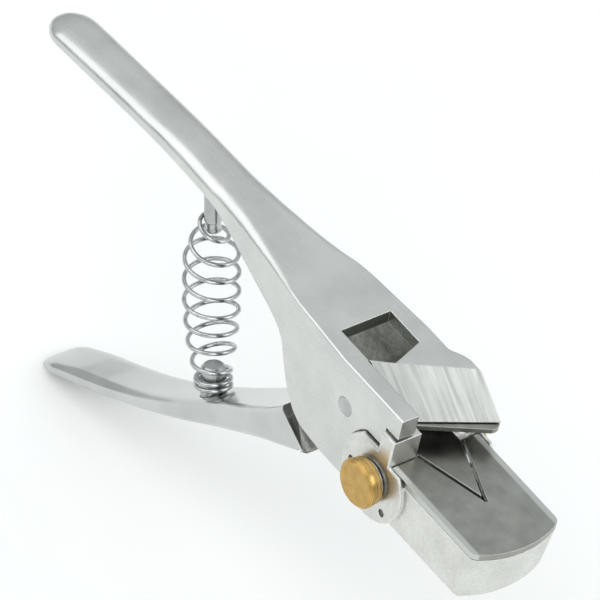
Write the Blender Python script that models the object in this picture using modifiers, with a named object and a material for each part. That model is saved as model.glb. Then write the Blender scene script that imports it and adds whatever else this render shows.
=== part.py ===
"""Hoof nipper: a single-lever shearing nipper with a cast body, a box-shaped lower jaw and a barrel spring.

The anvil face is the plane z = 0. +X runs forward to the end of the jaw, +Y to the tool's far side and
+Z up. The origin lies on the anvil face, midway between the jaw's sides, where its straight sides end.
"""

from math import atan2, copysign, cos, degrees, hypot, pi, radians, sin, sqrt, tan, tau

import bmesh
import bpy
from mathutils import Matrix, Vector

# Driving dimensions, in metres.
GAP = 0.0003  # between two pieces that touch
PIN_FIT = 0.00015  # between a pin and its hole, on the radius

# Lower jaw: an open box under the anvil plate, with one ear each side.
JAW_LENGTH = 0.040  # ears' front faces to the end of the straight sides
JAW_WIDTH = 0.032
JAW_DEPTH = 0.022  # anvil face to the underside
JAW_NOSE = 0.0045  # how far the front bows out
JAW_RAKE = 0.003  # how far the front leans back at the bottom
JAW_WALL = 0.003
JAW_CORNER = 0.003
JAW_BOTTOM_ROUND = 0.004
PLATE_THICKNESS = 0.002
SLIT_WIDTH = 0.0013
SLIT_APEX = (-0.0165, 0.0012)
SLIT_ENDS = ((-0.0405, -0.0060), (-0.0405, 0.0104))
PLATE_HOLE_DEPTH = 0.0014
PAD_SIZE = 0.006  # of the screw pads under the anvil plate
PAD_HEIGHT = 0.004
PLATE_SCREW_DIAMETER = 0.0025

# Ears and the bosses that carry the thumb screws.
CHANNEL_WIDTH = 0.019
EAR_PROUD = 0.0015  # beyond the jaw's sides
EAR_ROUND = 0.0005
BOSS_RADIUS = 0.0142
BOSS_SETBACK = 0.0057  # behind the ears' front faces
BOSS_DROP = 0.009  # below the anvil face
EAR_LIP = 0.0003  # ear's front edge above the anvil face
STEP_HEIGHT = 0.0026  # ear's low shoulder above the anvil face
TOOTH_HEIGHT = 0.0100  # near ear's tooth above the anvil face
TOOTH_LENGTH = 0.0058
TOOTH_INWARD = 0.0024  # of the tooth, past the ear's inner face
SEAT_GAP = 0.0008  # above the near ear's shoulder and tooth
THROAT_RELIEF = 0.0022  # far ear's inner side, cut back above the anvil
LUG_THICKNESS = 0.003
LUG_RIM = 0.0016  # boss metal left round the lug
LUG_ARM = 0.004  # of the lug, behind the boss and into the cheek
LUG_ARM_ANGLE = -135  # where the arm leaves the disc
THUMB_SHANK = 0.005
THUMB_HEAD = 0.0157
THUMB_HEAD_LENGTH = 0.0046
LOW_HEAD_LENGTH = 0.0020  # of the far thumb screw
THUMB_GROOVE = 0.0007
WASHER_THICKNESS = 0.0008
WASHER_DIAMETER = 0.013
ROLL_PIN_DIAMETER = 0.0024
ROLL_PIN_BORE = 0.0012
ROLL_PIN_RECESS = 0.0012
ROLL_PINS = ((-0.0096, -0.0006), (0.0074, -0.0078))  # from the boss axis: back or forward, and up

# Body casting: cheeks, web, head and upper handle.
PIVOT_SETBACK = 0.0245  # behind the ears' front faces
PIVOT_HEIGHT = 0.003
PIVOT_PIN_DIAMETER = 0.006
CHEEK_INSET = 0.00025  # from the jaw's sides
CHEEK_FRONT = 0.024  # ahead of the pivot
CHEEK_FLOOR = -0.021
CHEEK_ROUND = 0.0009
TOP_HEIGHT = 0.018
WEB_THICKNESS = 0.0045
CHANNEL_REAR = 0.0365  # behind the pivot
HEAD_FLOOR = 0.0075
HEAD_FLARE = 0.00325  # of the far side, beyond the cheek
HEAD_SLOT = 0.0006  # between the head and the near cheek
BEVEL_TOP = (-0.0011, 0.0165)  # bevel's upper edge ahead of the pivot, near and far end
BEVEL_FOOT = (0.0151, 0.0297)  # bevel's lower edge ahead of the pivot, near and far end
BEVEL_PAST = 0.0002  # how far its cutter goes below the head
WINDOW_REAR = 0.0152  # behind the pivot
WINDOW_CORNERS = (-0.0017, -0.0008)  # near and far front corner, ahead of the pivot
WINDOW_APEX = (0.0031, -0.0026)  # ahead of the pivot, and towards the far side
HANDLE_START = 0.0325  # behind the pivot
HANDLE_LENGTH = 0.135
HANDLE_WIDTH = 0.0158
HANDLE_TIP_ROUND = 0.009

# Presser plate under the head.
PRESSER_THICKNESS = 0.0017
PRESSER_PROUD = 0.0008
PRESSER_GAP = 0.0004
PRESSER_CORNER = 0.003
PRESSER_SCREW_REACH = 0.0022  # into the head
PRESSER_SCREWS = ((0.0166, 0.0050), (0.0180, 0.0125))  # ahead of the pivot, and towards the far side

# Lever: lower handle, shoulder and tongue.
TONGUE_SIDE_PLAY = 0.0012  # between the tongue and a cheek
THRUST_WASHER_THICKNESS = 0.0006
THRUST_WASHER_DIAMETER = 0.013
BUSH_WALL = 0.0011
GRIP_START = (-0.0209, -0.0302)  # middle of the shoulder's front face, from the pivot
GRIP_LENGTH = 0.1096  # shoulder to tip, along x
GRIP_WIDTH = 0.0175
GRIP_SOFT_FROM = 0.35  # share of the grip where its edges reach their full rounding
GRIP_CORNER_WIDTH = (0.12, 0.40)  # share of the half width that is rounded, at the shoulder and in full
GRIP_CORNER_HEIGHT = (0.20, 0.70)  # share of the half thickness
SHOULDER_WIDTH = 0.026
TONGUE_FRONT_FOOT = (-0.0160, -0.0346)  # from the pivot
TONGUE_REAR_FOOT = (-0.0263, -0.0292)
KNIFE_EDGE = (0.0125, 0.0032)  # ahead of the pivot, and above it
KNIFE_LEAN = radians(36.87)  # knife face from the horizontal, at rest
KNIFE_THICKNESS = 0.0018
KNIFE_LENGTH = 0.0088
KNIFE_HEAD_CLEARANCE = 0.0007
KNIFE_SCREW_DIAMETER = 0.0025
KNIFE_SCREW_LENGTH = 0.0045
KNIFE_SCREW_SPACING = 0.008

# Spring and its posts.
WIRE = 0.0014
SPRING_FOOT = 0.0660  # behind the pivot
SPRING_HEAD = 0.0892
COIL_FOOT = 0.0120  # outside diameters
COIL_MIDDLE = 0.0178
COIL_BOW = 0.0009  # of its middle, to the rear
COIL_HEAD = 0.0096
COIL_TURNS = 10
COIL_START = radians(121)
COIL_LEAN = (radians(-8), radians(25))  # how far its turns lean from square to the axis, at the foot and head
FOOT_POST_DIAMETER = 0.0078
FOOT_POST_LENGTH = 0.010
HEAD_POST_DIAMETER = 0.0054
HEAD_POST_LENGTH = 0.017
NECK = (0.0026, 0.0012)  # groove that the end turn grips: its middle above the post's tip, half its length
NECK_DEPTH = 0.0003
POST_ROOT = 0.003

ROUND_STEPS = 32
SMALL_STEPS = 20
COIL_STEPS = 16

# Places worked out from the driving dimensions.
EAR_FRONT = -JAW_LENGTH
BOSS = Vector((EAR_FRONT - BOSS_SETBACK, 0, -BOSS_DROP))
PIVOT = Vector((EAR_FRONT - PIVOT_SETBACK, 0, PIVOT_HEIGHT))
JAW_SIDE = JAW_WIDTH / 2
EAR_SIDE = JAW_SIDE + EAR_PROUD
CHEEK_SIDE = JAW_SIDE - CHEEK_INSET
HEAD_SIDE = CHEEK_SIDE + HEAD_FLARE
CHANNEL_SIDE = CHANNEL_WIDTH / 2
TONGUE_SIDE = CHANNEL_SIDE - TONGUE_SIDE_PLAY
WEB_FLOOR = TOP_HEIGHT - WEB_THICKNESS
LUG_RADIUS = BOSS_RADIUS - LUG_RIM
LUG_TOP = -PLATE_THICKNESS - 2 * GAP
BUSH_RADIUS = PIVOT_PIN_DIAMETER / 2 + PIN_FIT + BUSH_WALL
HANDLE_TIP = PIVOT.x - HANDLE_START - HANDLE_LENGTH
EDGE_REACH = hypot(*KNIFE_EDGE)
FAR = 0.1  # past every piece, for cutters

# The knife leans along one direction, and its face looks along the other.
KNIFE_UP = Vector((-cos(KNIFE_LEAN), 0, sin(KNIFE_LEAN)))
KNIFE_FACE = Vector((sin(KNIFE_LEAN), 0, cos(KNIFE_LEAN)))
EDGE = PIVOT + Vector((KNIFE_EDGE[0], 0, KNIFE_EDGE[1]))
FACE_REACH = (EDGE - PIVOT).dot(KNIFE_FACE)
SEAT_REACH = FACE_REACH - KNIFE_THICKNESS - GAP


# Scene, materials and the two collections.
for old in list(bpy.data.objects):
    bpy.data.objects.remove(old)
PARTS = bpy.data.collections.new("hoof_nipper")
CUTTERS = bpy.data.collections.new("hoof_nipper_cutters")
bpy.context.scene.collection.children.link(PARTS)
bpy.context.scene.collection.children.link(CUTTERS)


def finish(name, colour, metallic, roughness):
    made = bpy.data.materials.new(name)
    made.use_nodes = True
    shader = made.node_tree.nodes["Principled BSDF"]
    shader.inputs["Base Color"].default_value = (*colour, 1)
    shader.inputs["Metallic"].default_value = metallic
    shader.inputs["Roughness"].default_value = roughness
    return made


POLISHED_ALUMINIUM = finish("polished_cast_aluminium", (0.56, 0.59, 0.60), 1.0, 0.28)
SATIN_ALUMINIUM = finish("satin_cast_aluminium", (0.60, 0.61, 0.59), 1.0, 0.38)
GROUND_STEEL = finish("ground_tool_steel", (0.24, 0.25, 0.24), 1.0, 0.35)
PRESSER_STEEL = finish("presser_steel", (0.42, 0.43, 0.42), 1.0, 0.30)
KNIFE_STEEL = finish("knife_steel", (0.55, 0.56, 0.57), 1.0, 0.22)
SPRING_STEEL = finish("spring_steel", (0.50, 0.50, 0.51), 1.0, 0.16)
PIN_STEEL = finish("pin_steel", (0.45, 0.46, 0.46), 1.0, 0.30)
TURNED_BRASS = finish("turned_brass", (0.55, 0.38, 0.15), 1.0, 0.32)
BEARING_BRONZE = finish("bearing_bronze", (0.45, 0.28, 0.14), 1.0, 0.40)


# Helpers.
def add_object(name, mesh, material=None):
    """A part in its own material or, with none, a cutter."""
    made = bpy.data.objects.new(name, mesh)
    if material:
        mesh.materials.append(material)
        PARTS.objects.link(made)
    else:
        made.hide_render = True
        made.display_type = "WIRE"
        CUTTERS.objects.link(made)
    return made


def mesh_of(name, shape):
    """The bmesh as a mesh whose faces look outwards, smooth on its round stretches."""
    bmesh.ops.recalc_face_normals(shape, faces=shape.faces)
    mesh = bpy.data.meshes.new(name)
    shape.to_mesh(mesh)
    shape.free()
    mesh.shade_smooth()
    mesh.set_sharp_from_angle(angle=radians(35))
    return mesh


def boolean(target, other, operation):
    modifier = target.modifiers.new(other.name, "BOOLEAN")
    modifier.operation = operation
    modifier.object = other
    modifier.solver = "EXACT"


def cut(target, *cutters):
    for cutter in cutters:
        boolean(target, cutter, "DIFFERENCE")


def join(target, *others):
    for other in others:
        boolean(target, other, "UNION")


def slab(name, outline, low, high, side_view=True, material=None, edge_round=0.0):
    """A flat outline given a thickness from low to high: (x, z) points along y, or (x, y) points along z."""
    curve = bpy.data.curves.new(name, "CURVE")
    curve.dimensions = "2D"
    curve.fill_mode = "BOTH"
    curve.extrude = (high - low) / 2
    spline = curve.splines.new("POLY")
    spline.points.add(len(outline) - 1)
    for point, (u, v) in zip(spline.points, outline):
        point.co = (u, v, 0, 1)
    spline.use_cyclic_u = True
    flat = bpy.data.objects.new(name, curve)
    CUTTERS.objects.link(flat)
    graph = bpy.context.evaluated_depsgraph_get()
    mesh = bpy.data.meshes.new_from_object(flat.evaluated_get(graph))
    bpy.data.objects.remove(flat)
    shape = bmesh.new()
    shape.from_mesh(mesh)
    bmesh.ops.remove_doubles(shape, verts=shape.verts, dist=1e-6)
    bmesh.ops.dissolve_limit(shape, angle_limit=radians(1), verts=shape.verts, edges=shape.edges)
    if edge_round:
        outer = [edge for edge in shape.edges if all(vert.co.z > 0 for vert in edge.verts)]
        bmesh.ops.bevel(shape, geom=outer, offset=edge_round, segments=2, profile=0.5, affect="EDGES")
    if side_view:
        bmesh.ops.rotate(shape, matrix=Matrix.Rotation(pi / 2, 3, "X"), verts=shape.verts)
        bmesh.ops.translate(shape, vec=(0, (low + high) / 2, 0), verts=shape.verts)
    else:
        bmesh.ops.translate(shape, vec=(0, 0, (low + high) / 2), verts=shape.verts)
    bpy.data.meshes.remove(mesh)
    return add_object(name, mesh_of(name, shape), material)


def placed(start, end):
    """A matrix that takes the z axis from 0 to 1 onto the line from start to end, with no stretch."""
    turn = (end - start).to_track_quat("Z", "Y").to_matrix().to_4x4()
    return Matrix.Translation(start) @ turn


def rod(name, start, end, radius, material=None, steps=ROUND_STEPS):
    """A round bar from start to end. Pins and their holes share the same facets."""
    shape = bmesh.new()
    middle = placed(start, end) @ Matrix.Translation((0, 0, (end - start).length / 2))
    bmesh.ops.create_cone(
        shape,
        cap_ends=True,
        segments=steps,
        radius1=radius,
        radius2=radius,
        depth=(end - start).length,
        matrix=middle,
    )
    return add_object(name, mesh_of(name, shape), material)


def turned(name, profile, start, end, material, steps=ROUND_STEPS):
    """A turned piece: (radius, height) points from the top of the axis down the outside to the bottom."""
    mesh = bpy.data.meshes.new(name)
    edges = [(i, i + 1) for i in range(len(profile) - 1)]
    mesh.from_pydata([(radius, 0, height) for radius, height in profile], edges, [])
    made = add_object(name, mesh, material)
    made.matrix_world = placed(start, end)
    screw = made.modifiers.new("turn", "SCREW")
    screw.axis = "Z"
    screw.steps = steps
    screw.render_steps = steps
    screw.use_merge_vertices = True
    screw.merge_threshold = 1e-6
    screw.use_smooth_shade = True
    return made


def ring_bar(name, start, end, outer, inner, material, steps=SMALL_STEPS):
    """A washer, bush or hollow pin from start to end."""
    made = rod(name, start, end, outer, material, steps)
    along = (end - start).normalized() * 0.001
    cut(made, rod(name + "_bore", start - along, end + along, inner, steps=steps))
    return made


def loft(name, rings, material=None):
    """Skins a row of rings that have the same number of points, and caps both ends."""
    shape = bmesh.new()
    rows = [[shape.verts.new(point) for point in ring] for ring in rings]
    for row, following in zip(rows, rows[1:]):
        for i, vert in enumerate(row):
            j = (i + 1) % len(row)
            shape.faces.new((vert, row[j], following[j], following[i]))
    shape.faces.new(rows[0])
    shape.faces.new(rows[-1])
    bmesh.ops.remove_doubles(shape, verts=shape.verts, dist=1e-6)
    return add_object(name, mesh_of(name, shape), material)


def smooth(keys, at):
    """Values between the keys, by cubic pieces that never overshoot. A key is (place, value, value, ...)."""
    keys = sorted(keys)
    places = [key[0] for key in keys]
    if at <= places[0]:
        return keys[0][1:]
    if at >= places[-1]:
        return keys[-1][1:]
    low = max(i for i, place in enumerate(places[:-1]) if place <= at)
    width = places[low + 1] - places[low]
    t = (at - places[low]) / width
    found = []
    for column in range(1, len(keys[0])):
        values = [key[column] for key in keys]
        rises = [
            (values[i + 1] - values[i]) / (places[i + 1] - places[i])
            for i in range(len(keys) - 1)
        ]
        slopes = [0.0] + [
            2 * a * b / (a + b) if a * b > 0 else 0.0 for a, b in zip(rises, rises[1:])
        ] + [0.0]
        start, end = values[low], values[low + 1]
        found.append(
            start
            + (end - start) * t * t * (3 - 2 * t)
            + width * t * (1 - t) * (slopes[low] * (1 - t) - slopes[low + 1] * t)
        )
    return found


def arc(centre, radius, first, last, steps):
    """Points round a centre, from one angle to the other, in degrees."""
    angles = [radians(first + (last - first) * i / steps) for i in range(steps + 1)]
    return [(centre[0] + radius * cos(a), centre[1] + radius * sin(a)) for a in angles]


def oval_corner_ring(near, far, floor, top, round_y, round_z, steps=5):
    """(y, z) points round a rectangle with oval corners."""
    ring = []
    for turn, (edge_y, edge_z) in enumerate(((far, top), (near, top), (near, floor), (far, floor))):
        centre_y = edge_y - round_y if edge_y == far else edge_y + round_y
        centre_z = edge_z - round_z if edge_z == top else edge_z + round_z
        for i in range(steps + 1):
            a = radians(90 * turn + 90 * i / steps)
            ring.append((centre_y + round_y * cos(a), centre_z + round_z * sin(a)))
    return ring


def tangent_angle(point, radius, side):
    """Where a line from a point outside touches a circle at the pivot, in degrees. side is 1 or -1."""
    across, up = point[0] - PIVOT.x, point[1] - PIVOT.z
    return degrees(atan2(up, across)) + side * degrees(atan2(sqrt(across**2 + up**2 - radius**2), radius))


# Lower jaw.
def jaw_ring(inset, rake, z, rear):
    """The jaw's outline in plan, moved in by inset, with its front moved back by rake."""
    side = JAW_SIDE - inset
    bow = (JAW_SIDE**2 + JAW_NOSE**2) / (2 * JAW_NOSE)
    centre = JAW_NOSE - bow
    radius = bow - inset
    corner = max(JAW_CORNER - inset, 0.0006)
    reach = radius - corner
    hold = side - corner
    corner_x = centre + sqrt(reach**2 - hold**2)
    swing = degrees(atan2(hold, corner_x - centre))
    ring = [(rear, -side)]
    ring += arc((corner_x - rake, -hold), corner, -90, -swing, 4)
    ring += arc((centre - rake, 0), radius, -swing, swing, 8)[1:-1]
    ring += arc((corner_x - rake, hold), corner, swing, 90, 4)
    ring += [(rear, side)]
    return [(x, y, z) for x, y in ring]


def jaw_block(name, inset, top, floor, bottom_round, rear, material=None):
    """The jaw's box, or its hollow, with a rounded lower edge."""
    rings = [jaw_ring(inset, 0, top, rear)]
    height = JAW_DEPTH - JAW_BOTTOM_ROUND
    rings.append(jaw_ring(inset, JAW_RAKE * height / JAW_DEPTH, floor + bottom_round, rear))
    for i in range(1, 5):
        a = radians(90 * i / 4)
        drop = bottom_round * (1 - sin(a))
        rings.append(jaw_ring(inset + bottom_round * (1 - cos(a)), JAW_RAKE, floor + drop, rear))
    return loft(name, rings, material)


def boss_angle(height, radius):
    """Where a boss of this radius reaches this height at its front, in degrees from its middle."""
    rise = height - BOSS.z
    return degrees(atan2(rise, sqrt(radius**2 - rise**2)))


def ear_outline(tooth):
    """An ear from the side: a round boss with a flat shoulder and, on the near ear, a tooth."""
    front, rear = boss_angle(EAR_LIP, BOSS_RADIUS), 180 - boss_angle(STEP_HEIGHT, BOSS_RADIUS)
    outline = arc((BOSS.x, BOSS.z), BOSS_RADIUS, front, rear - 360, 26)
    if tooth:
        back = EAR_FRONT - TOOTH_LENGTH
        outline += [(back, STEP_HEIGHT), (back, TOOTH_HEIGHT), (EAR_FRONT, TOOTH_HEIGHT)]
    else:
        outline += [(EAR_FRONT, STEP_HEIGHT)]
    return outline + [(EAR_FRONT, EAR_LIP)]


def seat_outline(tooth):
    """What the cheek gives up to an ear, open downwards and forwards."""
    radius = BOSS_RADIUS + GAP
    shoulder = STEP_HEIGHT + SEAT_GAP
    outline = [(BOSS.x - radius, CHEEK_FLOOR - 0.01)]
    outline += arc((BOSS.x, BOSS.z), radius, 180, 180 - boss_angle(shoulder, radius), 8)
    rear = EAR_FRONT - TOOTH_LENGTH - GAP if tooth else PIVOT.x + EDGE_REACH
    high = TOOTH_HEIGHT + SEAT_GAP if tooth else HEAD_FLOOR
    outline += [(rear, shoulder), (rear, high), (FAR, high), (FAR, CHEEK_FLOOR - 0.01)]
    return outline


def lug_outline(grow):
    """The body's lug beside an ear: a disc with a flat top and an arm back to the cheek."""
    radius = LUG_RADIUS + grow
    top = LUG_TOP + grow
    rear = BOSS.x - BOSS_RADIUS - LUG_ARM
    outline = arc((BOSS.x, BOSS.z), radius, boss_angle(top, radius), LUG_ARM_ANGLE, 16)
    return outline + [(rear, outline[-1][1]), (rear, top)]


def both_sides(name, outline, inner, outer):
    """The same slab on the near and the far side."""
    return [
        slab(name + "_near", outline, -outer, -inner),
        slab(name + "_far", outline, inner, outer),
    ]


def build_lower_jaw():
    top, rear = -PLATE_THICKNESS - GAP, EAR_FRONT - JAW_WALL
    jaw = jaw_block("lower_jaw", 0, top, -JAW_DEPTH, JAW_BOTTOM_ROUND, rear, SATIN_ALUMINIUM)
    near = slab("near_ear", ear_outline(True), -EAR_SIDE, -CHANNEL_SIDE, edge_round=EAR_ROUND)
    far = slab("far_ear", ear_outline(False), -EAR_SIDE, -CHANNEL_SIDE, edge_round=EAR_ROUND)
    far.scale.y = -1
    join(jaw, near, far)
    inner_round = max(JAW_BOTTOM_ROUND - JAW_WALL, 0.001)
    hollow = jaw_block("jaw_hollow", JAW_WALL, 0.001, -JAW_DEPTH + JAW_WALL, inner_round, EAR_FRONT)
    between = slab(
        "between_ears",
        [(-FAR, -JAW_DEPTH - 0.01), (EAR_FRONT, -JAW_DEPTH - 0.01), (EAR_FRONT, 0.001), (-FAR, 0.001)],
        -CHANNEL_SIDE,
        CHANNEL_SIDE,
    )
    bed = plate_shape("plate_bed", GAP, -PLATE_THICKNESS - GAP, 0.001)
    relief = slab(
        "throat_relief",
        [(BOSS.x, 0), (FAR, 0), (FAR, STEP_HEIGHT + 0.001), (BOSS.x, STEP_HEIGHT + 0.001)],
        0,
        CHANNEL_SIDE + THROAT_RELIEF,
    )
    cut(jaw, hollow, between, bed, relief)
    back = EAR_FRONT - TOOTH_LENGTH
    block = [(back, GAP), (EAR_FRONT, GAP), (EAR_FRONT, TOOTH_HEIGHT), (back, TOOTH_HEIGHT)]
    join(jaw, slab("tooth_block", block, -EAR_SIDE + 2 * EAR_ROUND, -CHANNEL_SIDE + TOOTH_INWARD))
    cut(jaw, *both_sides("lug_pocket", lug_outline(GAP), 0, CHANNEL_SIDE + LUG_THICKNESS + GAP))
    for i, (x, y) in enumerate(pad_places()):
        half = PAD_SIZE / 2
        wall = copysign(JAW_SIDE - JAW_WALL / 2, y)
        inward = y - copysign(half, y)
        low, high = min(wall, inward), max(wall, inward)
        corners = [(x - half, low), (x + half, low), (x + half, high), (x - half, high)]
        pad_top = -PLATE_THICKNESS - GAP
        join(jaw, slab(f"pad_{i + 1}", corners, pad_top - PAD_HEIGHT, pad_top, side_view=False))
    cut(jaw, *[plate_screw_hole(f"pad_hole_{i + 1}", x, y) for i, (x, y) in enumerate(pad_places())])
    for side in (-1, 1):
        cut(jaw, thumb_hole(f"ear_thumb_hole_{side}", side))
        cut(jaw, *[roll_pin_hole(f"ear_pin_hole_{side}_{i}", side, i) for i in range(len(ROLL_PINS))])


# Anvil plate and its screws.
def plate_shape(name, grow, floor, top, material=None):
    """The plate in plan: the jaw's outline, with a narrow tail between the ears."""
    tail = CHANNEL_SIDE - GAP + grow
    tail_end = PIVOT.x + EDGE_REACH + GAP - grow
    rear = EAR_FRONT + GAP - grow
    outline = [(tail_end, -tail), (rear, -tail)]
    outline += [(x, y) for x, y, _ in jaw_ring(-grow, 0, 0, rear)]
    outline += [(rear, tail), (tail_end, tail)]
    return slab(name, outline, floor, top, side_view=False, material=material)


def pad_places():
    """Screw places under the plate: two near the nose and two ahead of the lugs."""
    side = JAW_SIDE - JAW_WALL - PAD_SIZE / 2
    front = -JAW_WALL - PAD_SIZE / 4
    rear = BOSS.x + LUG_RADIUS + 2 * GAP + PAD_SIZE / 2
    return [(x, y) for x in (front, rear) for y in (-side, side)]


def plate_screw_hole(name, x, y):
    low = -PLATE_THICKNESS - GAP - PAD_HEIGHT
    radius = PLATE_SCREW_DIAMETER / 2 + GAP
    start, end = Vector((x, y, low - 0.001)), Vector((x, y, 0.001 - PLATE_THICKNESS))
    return rod(name, start, end, radius, steps=SMALL_STEPS)


def cap_screw(name, seat, tip, diameter, material):
    """A low round-headed screw: its head stands on the seat, and its shank runs to the tip."""
    reach = (tip - seat).length
    radius = diameter / 2
    head = diameter * 0.85
    height = diameter * 0.5
    profile = [
        (0, reach),
        (radius * 0.8, reach),
        (radius, reach - radius * 0.2),
        (radius, 0),
        (head, 0),
        (head, -height * 0.7),
        (head * 0.8, -height),
        (0, -height),
    ]
    return turned(name, profile, seat, tip, material, SMALL_STEPS)


def build_anvil_plate():
    plate = plate_shape("anvil_plate", 0, -PLATE_THICKNESS, 0, GROUND_STEEL)
    for i, rear in enumerate(SLIT_ENDS):
        end = Vector(rear)
        along = (end - Vector(SLIT_APEX)).normalized()
        across = Vector((-along.y, along.x)) * (SLIT_WIDTH / 2)
        apex = Vector(SLIT_APEX) - along * (SLIT_WIDTH / 2)
        corners = [tuple(c) for c in (apex + across, end + across, end - across, apex - across)]
        cut(plate, slab(f"slit_{i + 1}", corners, -PLATE_THICKNESS - 0.001, 0.001, side_view=False))
    for i, (x, y) in enumerate(pad_places()):
        blind = PLATE_HOLE_DEPTH - PLATE_THICKNESS
        low, high = Vector((x, y, -PLATE_THICKNESS - 0.001)), Vector((x, y, blind))
        radius = PLATE_SCREW_DIAMETER / 2 + GAP
        cut(plate, rod(f"plate_hole_{i + 1}", low, high, radius, steps=SMALL_STEPS))
        seat = Vector((x, y, -PLATE_THICKNESS - PAD_HEIGHT - 2 * GAP))
        cap_screw(f"anvil_screw_{i + 1}", seat, Vector((x, y, blind - GAP)), PLATE_SCREW_DIAMETER, PIN_STEEL)


# Thumb screws, washers and roll pins.
def thumb_hole(name, side):
    start = Vector((BOSS.x, side * (CHANNEL_SIDE - 0.001), BOSS.z))
    end = Vector((BOSS.x, side * (EAR_SIDE + 0.001), BOSS.z))
    return rod(name, start, end, THUMB_SHANK / 2 + PIN_FIT)


def roll_pin_hole(name, side, i):
    x, z = BOSS.x + ROLL_PINS[i][0], BOSS.z + ROLL_PINS[i][1]
    start = Vector((x, side * (CHANNEL_SIDE - 0.001), z))
    end = Vector((x, side * (EAR_SIDE + 0.001), z))
    return rod(name, start, end, ROLL_PIN_DIAMETER / 2 + PIN_FIT, steps=SMALL_STEPS)


def build_thumb_screw(word, side):
    seat = EAR_SIDE + 2 * GAP + WASHER_THICKNESS
    inner = CHANNEL_SIDE + GAP
    radius = THUMB_HEAD / 2
    top = THUMB_HEAD_LENGTH if side < 0 else LOW_HEAD_LENGTH
    shank = THUMB_SHANK / 2
    flange = top * 0.24
    groove = top * 0.24
    edge = top * 0.13
    profile = [
        (0, top),
        (radius - 2 * edge, top),
        (radius - 0.7 * edge, top - 0.35 * edge),
        (radius, top - 1.2 * edge),
        (radius, flange + groove),
        (radius - THUMB_GROOVE, flange + groove),
        (radius - THUMB_GROOVE, flange),
        (radius - edge / 2, flange),
        (radius - edge / 2, 0),
        (shank, 0),
        (shank, inner - seat + 0.0004),
        (shank - 0.0004, inner - seat),
        (0, inner - seat),
    ]
    start = Vector((BOSS.x, side * seat, BOSS.z))
    turned(f"thumb_screw_{word}", profile, start, start + Vector((0, side * top, 0)), TURNED_BRASS)
    low = Vector((BOSS.x, side * (EAR_SIDE + GAP), BOSS.z))
    high = Vector((BOSS.x, side * (EAR_SIDE + GAP + WASHER_THICKNESS), BOSS.z))
    ring_bar(f"washer_{word}", low, high, WASHER_DIAMETER / 2, shank + PIN_FIT, PIN_STEEL, ROUND_STEPS)


def build_roll_pins(word, side):
    for i, (forward, up) in enumerate(ROLL_PINS):
        x, z = BOSS.x + forward, BOSS.z + up
        start = Vector((x, side * (CHANNEL_SIDE + GAP), z))
        end = Vector((x, side * (EAR_SIDE - ROLL_PIN_RECESS), z))
        outer, inner = ROLL_PIN_DIAMETER / 2, ROLL_PIN_BORE / 2
        ring_bar(f"roll_pin_{word}_{i + 1}", start, end, outer, inner, PIN_STEEL)


# Body casting.
def frame_keys():
    """Sections from tip to front: place, near side, far side, floor, top, corner width and corner height.

    The handle's own sections give half the width once, and the corner's width as a share of it.
    """
    start, end = PIVOT.x - HANDLE_START, HANDLE_TIP
    grip = HANDLE_WIDTH / 2
    sharp = CHEEK_ROUND
    cheek = CHEEK_SIDE

    def back(share):
        return start + (end - start) * share

    sections = (
        (end, grip, 0.0062, 0.0125, 0.75, 0.0030),
        (back(0.88), grip, 0.0070, 0.0140, 0.75, 0.0034),
        (back(0.70), grip * 0.98, 0.0085, 0.0162, 0.75, 0.0036),
        (back(0.50), grip * 0.99, 0.0098, 0.0180, 0.72, 0.0037),
        (back(0.36), grip * 1.02, 0.0094, 0.0183, 0.68, 0.0038),
        (back(0.28), grip * 1.09, 0.0072, 0.0184, 0.54, 0.0036),
        (back(0.20), grip * 1.22, 0.0046, 0.0182, 0.38, 0.0031),
        (back(0.12), grip * 1.39, 0.0027, 0.0180, 0.26, 0.0024),
        (back(0.06), grip * 1.56, 0.0018, TOP_HEIGHT, 0.17, 0.0017),
    )
    handle = [
        (x, -half, half, floor, top, half * share, height)
        for x, half, floor, top, share, height in sections
    ]
    return handle + [
        (back(0.02), -cheek * 0.84, cheek * 0.84, 0.0004, TOP_HEIGHT, sharp, sharp),
        (start + 0.0035, -cheek * 0.89, cheek * 0.89, -0.0095, TOP_HEIGHT, sharp, sharp),
        (start + 0.0080, -cheek * 0.91, cheek * 0.91, -0.0160, TOP_HEIGHT, sharp, sharp),
        (start + 0.0125, -cheek * 0.93, cheek * 0.93, -0.0196, TOP_HEIGHT, sharp, sharp),
        (start + 0.0170, -cheek * 0.95, cheek * 0.95, CHEEK_FLOOR, TOP_HEIGHT, sharp, sharp),
        (PIVOT.x - 0.0050, -cheek, cheek, CHEEK_FLOOR, TOP_HEIGHT, sharp, sharp),
        (PIVOT.x + 0.0050, -cheek, cheek, CHEEK_FLOOR, TOP_HEIGHT, sharp, sharp),
        (PIVOT.x + 0.0088, -cheek, HEAD_SIDE - 0.0012, CHEEK_FLOOR, TOP_HEIGHT, sharp, sharp),
        (PIVOT.x + 0.0125, -cheek, HEAD_SIDE, CHEEK_FLOOR, TOP_HEIGHT, sharp, sharp),
        (PIVOT.x + BEVEL_FOOT[1] + 0.001, -cheek, HEAD_SIDE, CHEEK_FLOOR, TOP_HEIGHT, sharp, sharp),
    ]


def handle_floor(x):
    return smooth(frame_keys(), x)[2]


def frame_ring(x, shrink=1.0):
    near, far, floor, top, round_y, round_z = smooth(frame_keys(), x)
    middle = (floor + top) / 2
    ring = oval_corner_ring(near, far, floor, top, round_y, round_z)
    return [(y * shrink, middle + (z - middle) * shrink) for y, z in ring]


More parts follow.
